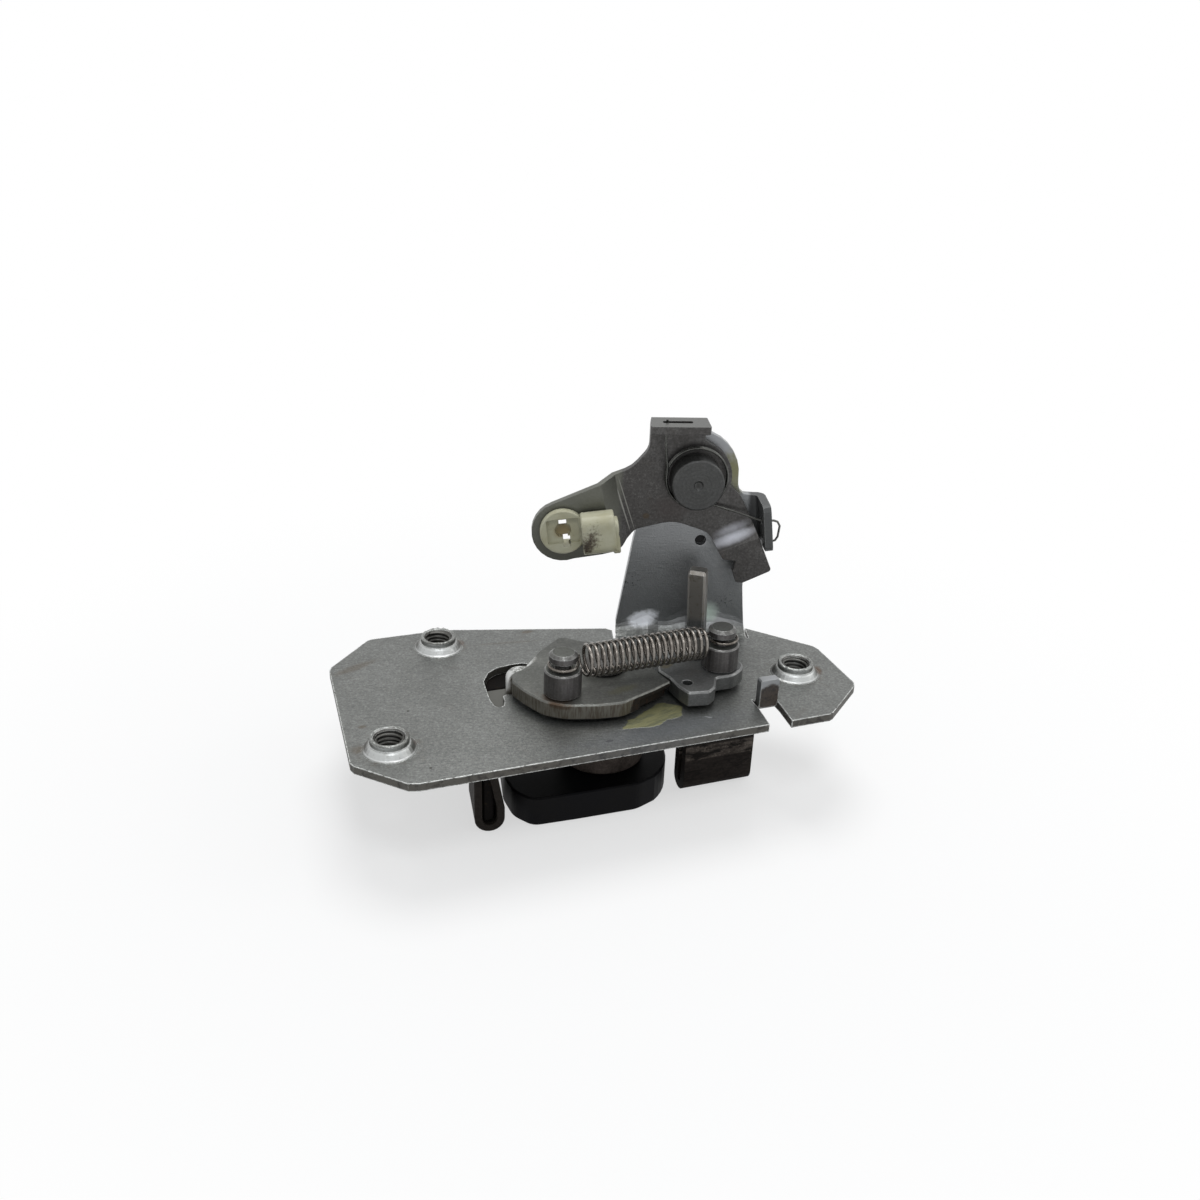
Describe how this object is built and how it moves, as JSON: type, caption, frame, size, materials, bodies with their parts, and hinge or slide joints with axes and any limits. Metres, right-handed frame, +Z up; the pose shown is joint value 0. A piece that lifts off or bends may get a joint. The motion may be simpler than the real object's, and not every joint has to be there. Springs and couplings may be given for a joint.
{
  "type": "tailgate lock",
  "caption": "Vehicle tailgate lock: steel plate with threaded collars, plastic-covered claw, cam, sprung pawl and a release lever with rod clip.",
  "frame": {"origin": "middle of the bounding box, on its bottom", "axes": "+X along the plate's front edge, +Z up from the feet through the plate to the upright, -Y towards the side with the claw's front and the levers' front"},
  "size_m": [0.155, 0.0834, 0.1096],
  "materials": {
    "zinc": "dull zinc plate, stained",
    "dark_zinc": "dark plated steel",
    "rusty": "dull brown rust over steel",
    "bright": "bare steel",
    "black_plastic": "black moulding",
    "cream_plastic": "cream moulding, dirty"
  },
  "bodies": {
    "root": {"base_plate": "zinc", "left_guide_hook": "rusty", "right_guide_block": "rusty", "bearing_boss": "rusty", "pawl_rivet": "bright", "pawl_washer": "bright", "lever_rivet": "dark_zinc", "torsion_spring": "bright", "tension_spring": "bright"},
    "rotor": {"claw_core": "dark_zinc", "claw_cover": "black_plastic", "rotor_shaft": "bright", "rotor_washer": "bright", "cam_plate": "zinc", "left_spring_post": "dark_zinc"},
    "pawl": {"pawl": "zinc", "right_spring_post": "dark_zinc"},
    "lever": {"release_lever": "dark_zinc"},
    "clip": {"rod_clip": "cream_plastic"}
  },
  "joints": [
    {"name": "rotor_turn", "type": "hinge", "parent": "root", "child": "rotor", "pos_m": [0.0022, -0.00665, 0.034], "axis": [0, 0, 1], "range_deg": [-22, 0], "stiffness_Nm_per_rad": 0.3, "springref_deg": 28.65, "deforming": ["tension_spring"]},
    {"name": "pawl_turn", "type": "hinge", "parent": "root", "child": "pawl", "pos_m": [0.032, -0.00545, 0.034], "axis": [0, 0, 1], "range_deg": [0, 10]},
    {"name": "lever_turn", "type": "hinge", "parent": "root", "child": "lever", "pos_m": [0.03936, 0.01851, 0.0893], "axis": [0.2686, 0.9633, 0], "range_deg": [0, 18], "stiffness_Nm_per_rad": 0.1, "springref_deg": -17.19, "deforming": ["torsion_spring"]},
    {"name": "clip_swivel", "type": "hinge", "parent": "lever", "child": "clip", "pos_m": [-0.00161, 0.0235, 0.0734], "axis": [0.2686, 0.9633, 0], "range_deg": [-75, 75]}
  ],
  "couplings": [
    {"joint": "pawl_turn", "follows": "lever_turn", "ratio": 0.5556}
  ]
}
